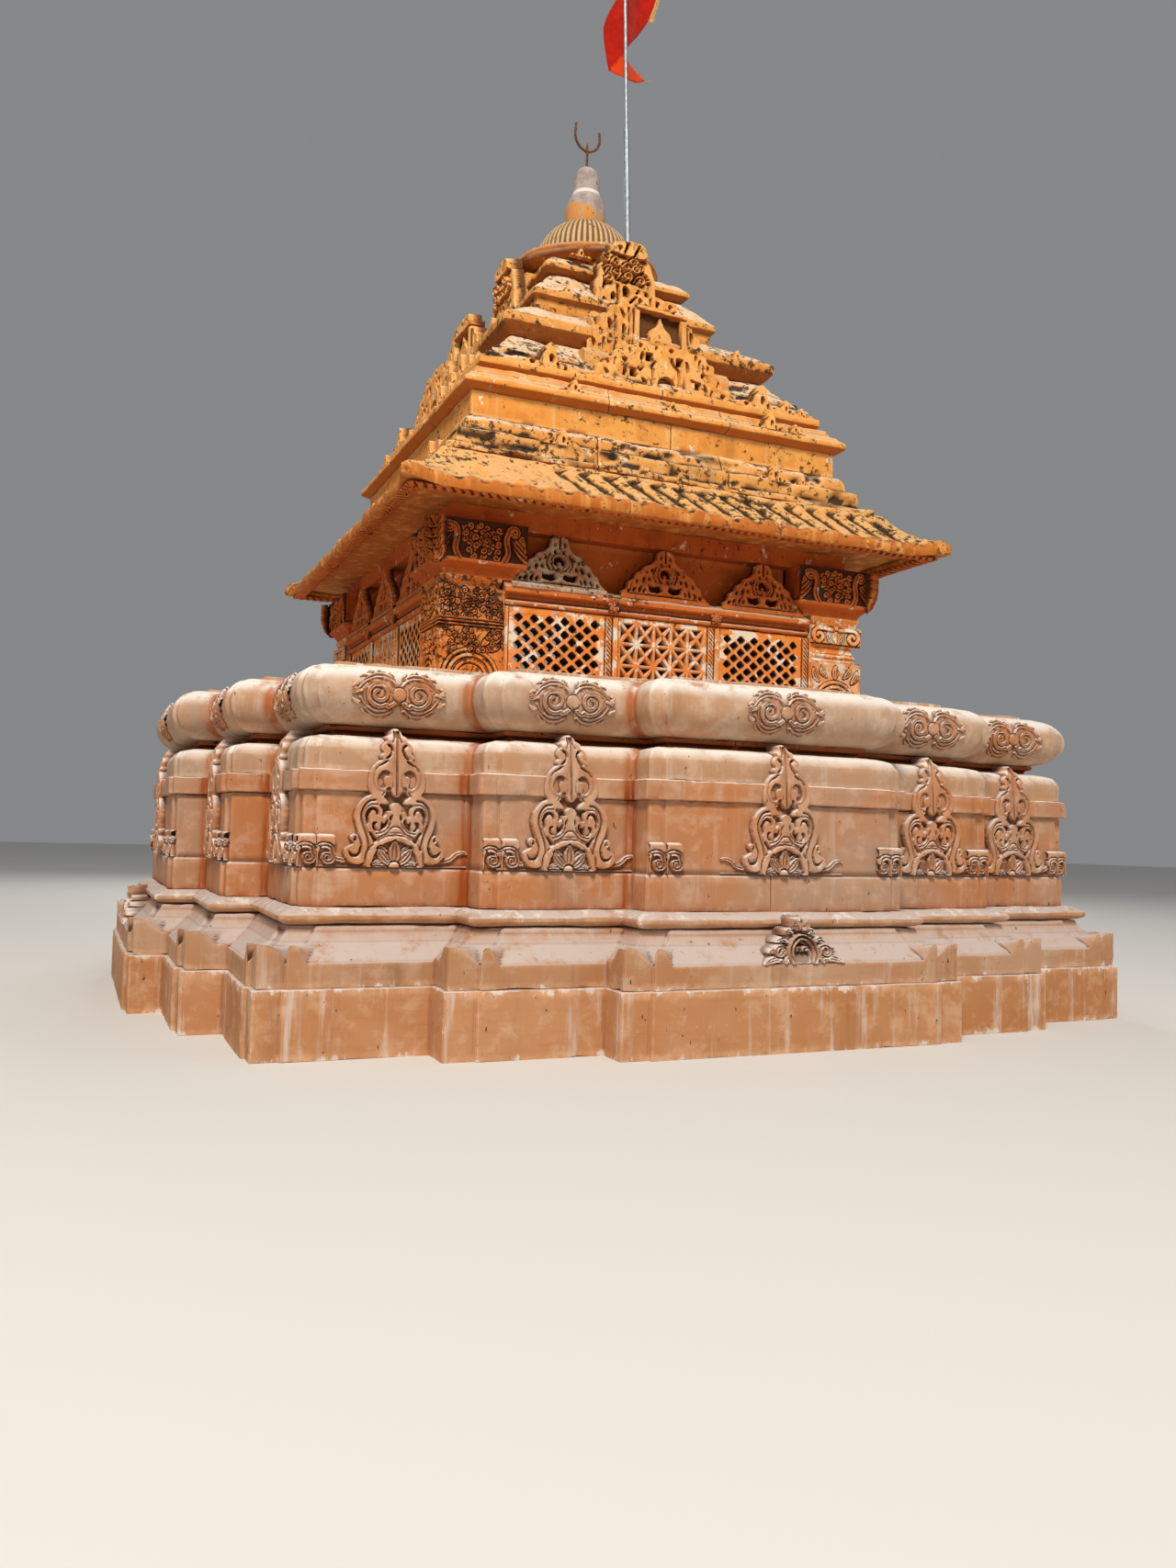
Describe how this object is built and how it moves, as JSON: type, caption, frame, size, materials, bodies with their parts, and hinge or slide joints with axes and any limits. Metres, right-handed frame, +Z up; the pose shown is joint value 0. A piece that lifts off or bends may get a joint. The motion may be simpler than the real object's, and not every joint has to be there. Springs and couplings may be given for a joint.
{
  "type": "hindu temple",
  "caption": "Small carved stone temple: a moulded podium on a stepped plan, a square shrine with pierced windows, a wide eave and a stepped pyramid roof.",
  "frame": {"origin": "middle of the podium's foot, on the ground", "axes": "+Z up, -Y out of the front side, +X to the right seen from the front"},
  "size_m": [5.71, 5.71, 7.56],
  "materials": {
    "sandstone": "dressed pinkish-tan sandstone, rust-stained in its recesses",
    "dusty_sandstone": "sandstone under grey-white dust and lime",
    "painted_stone": "carved stone with worn saffron paint",
    "weathered_stone": "painted stone with peeling paint and black lichen",
    "cement": "trowelled grey cement, partly painted",
    "rusty_iron": "rusty iron bar",
    "steel": "dull galvanised tube",
    "red_cloth": "thin red cloth with a gold fringe"
  },
  "bodies": {
    "root": {"base_course": "sandstone", "sloped_course": "dusty_sandstone", "knife_edge_course": "dusty_sandstone", "wall_course": "sandstone", "belt_course": "sandstone", "shoulder_course": "sandstone", "recess_course": "weathered_stone", "roll_course": "sandstone", "platform_slab": "dusty_sandstone", "shrine_floor": "painted_stone", "pillar_front_left": "painted_stone", "pillar_front_right": "painted_stone", "pillar_back_right": "painted_stone", "pillar_back_left": "painted_stone", "capital_front_left": "painted_stone", "capital_front_right": "painted_stone", "capital_back_right": "painted_stone", "capital_back_left": "painted_stone", "jali_front": "painted_stone", "jali_right": "painted_stone", "jali_left": "painted_stone", "jali_back_left": "painted_stone", "jali_back_right": "painted_stone", "ledge_front": "painted_stone", "ledge_right": "painted_stone", "ledge_left": "painted_stone", "ledge_back_left": "painted_stone", "ledge_back_right": "painted_stone", "ceiling_slab": "weathered_stone", "eave_slab": "painted_stone", "bedding_slabs": "weathered_stone", "drum": "painted_stone", "lower_cornice": "painted_stone", "upper_cornice": "painted_stone", "roof_skirt": "weathered_stone", "lower_roof_tier": "weathered_stone", "middle_roof_tier": "weathered_stone", "upper_roof_tier": "weathered_stone", "gable_front": "painted_stone", "gable_right": "painted_stone", "gable_back": "painted_stone", "gable_left": "painted_stone", "crown_disc": "weathered_stone", "ribbed_bell": "painted_stone", "finial_pot": "cement", "trident": "rusty_iron", "flag_pole": "steel", "flag": "red_cloth"}
  },
  "joints": []
}
